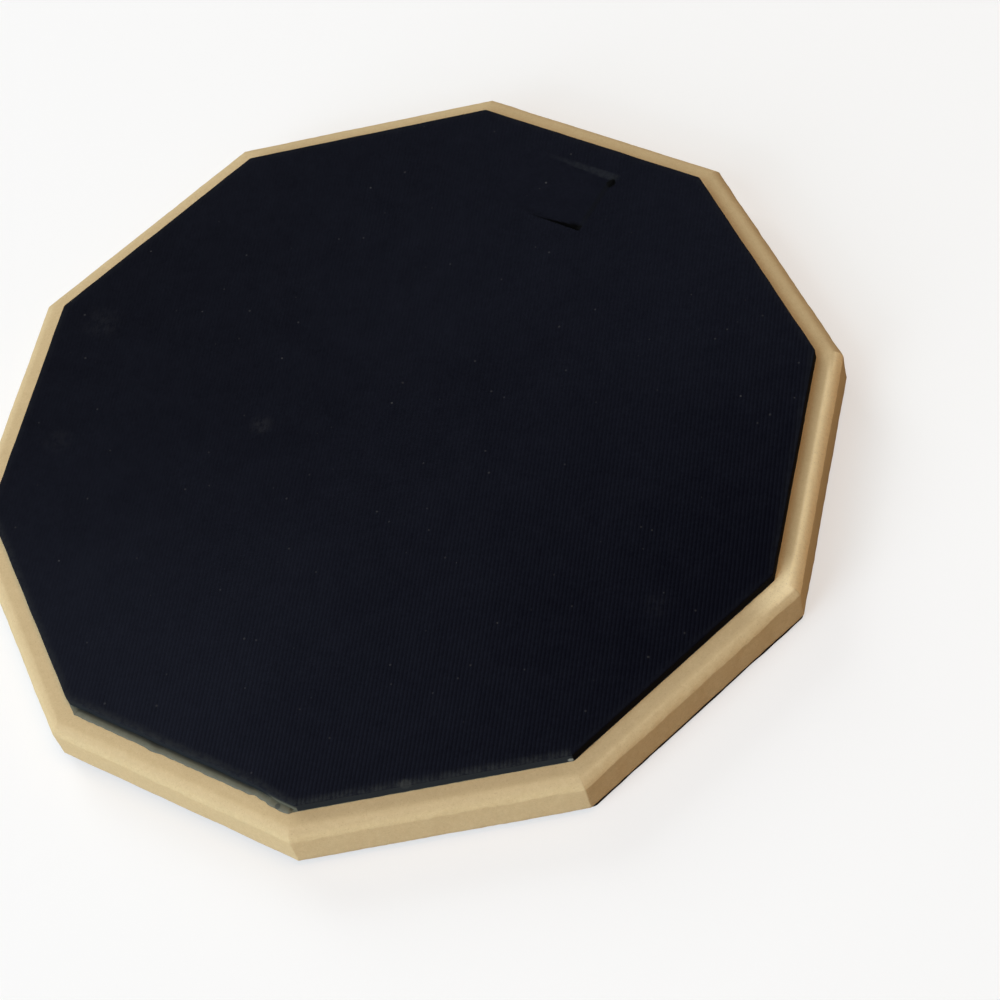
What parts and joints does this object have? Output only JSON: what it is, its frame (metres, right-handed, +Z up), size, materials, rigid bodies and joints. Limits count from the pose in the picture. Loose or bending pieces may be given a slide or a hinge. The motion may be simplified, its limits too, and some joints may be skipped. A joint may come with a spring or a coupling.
{
  "type": "practice pad",
  "caption": "Quiet drum practice pad: a ten-sided fibreboard base with a ribbed gum rubber playing sheet on top and a non-slip foam sheet underneath.",
  "frame": {"origin": "centre of the underside, on the face that the pad rests on", "axes": "+Z up, towards the playing sheet; +X towards a corner of the base; flat sides face +Y and -Y"},
  "size_m": [0.3048, 0.2898, 0.0232],
  "materials": {
    "fibreboard": "raw medium density fibreboard, machined edges",
    "gum_rubber": "matt black, finely ribbed",
    "adhesive": "dried grey-green contact adhesive, dull",
    "foam_rubber": "black closed-cell foam, matt"
  },
  "bodies": {
    "root": {"base_board": "fibreboard", "playing_pad": "gum_rubber", "pad_adhesive": "adhesive", "back_adhesive": "adhesive", "back_pad": "foam_rubber"}
  },
  "joints": []
}
